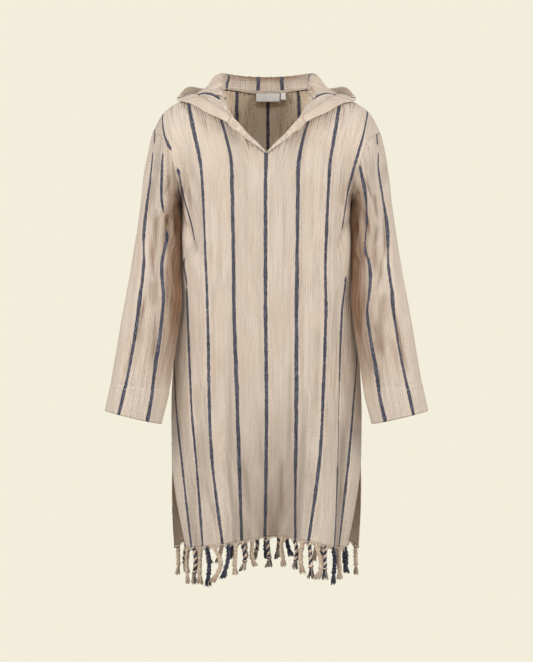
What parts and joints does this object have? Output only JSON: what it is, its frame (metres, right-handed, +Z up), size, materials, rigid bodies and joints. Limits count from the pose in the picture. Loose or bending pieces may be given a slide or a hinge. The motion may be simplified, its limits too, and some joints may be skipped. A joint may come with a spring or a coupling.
{
  "type": "hooded beach tunic",
  "caption": "Long-sleeved cotton gauze beach tunic with a V slit neck, a hood folded back, side slits and knotted tassel hems, filled out as if worn.",
  "frame": {"origin": "midway between the shoulders beside the neck, on the line of the side seams, where the wearer's shoulders carry the tunic", "axes": "+Z up along the tunic's length, -Y is the front, +X is the wearer's left side"},
  "size_m": [0.6458, 0.2968, 1.0438],
  "materials": {
    "gauze": "crinkled cotton double gauze, sand coloured with thin indigo warp stripes",
    "tape": "woven cotton tape",
    "label_satin": "plain woven satin, blank",
    "cord": "twisted cotton yarn"
  },
  "bodies": {
    "root": {"front": "gauze", "back": "gauze", "sleeve_left": "gauze", "sleeve_right": "gauze", "hood_left": "gauze", "hood_right": "gauze", "facing_left": "gauze", "facing_right": "gauze", "neck_tape": "tape", "label": "label_satin", "size_tab": "label_satin", "front_fringe": "cord", "back_fringe": "cord"}
  },
  "joints": []
}
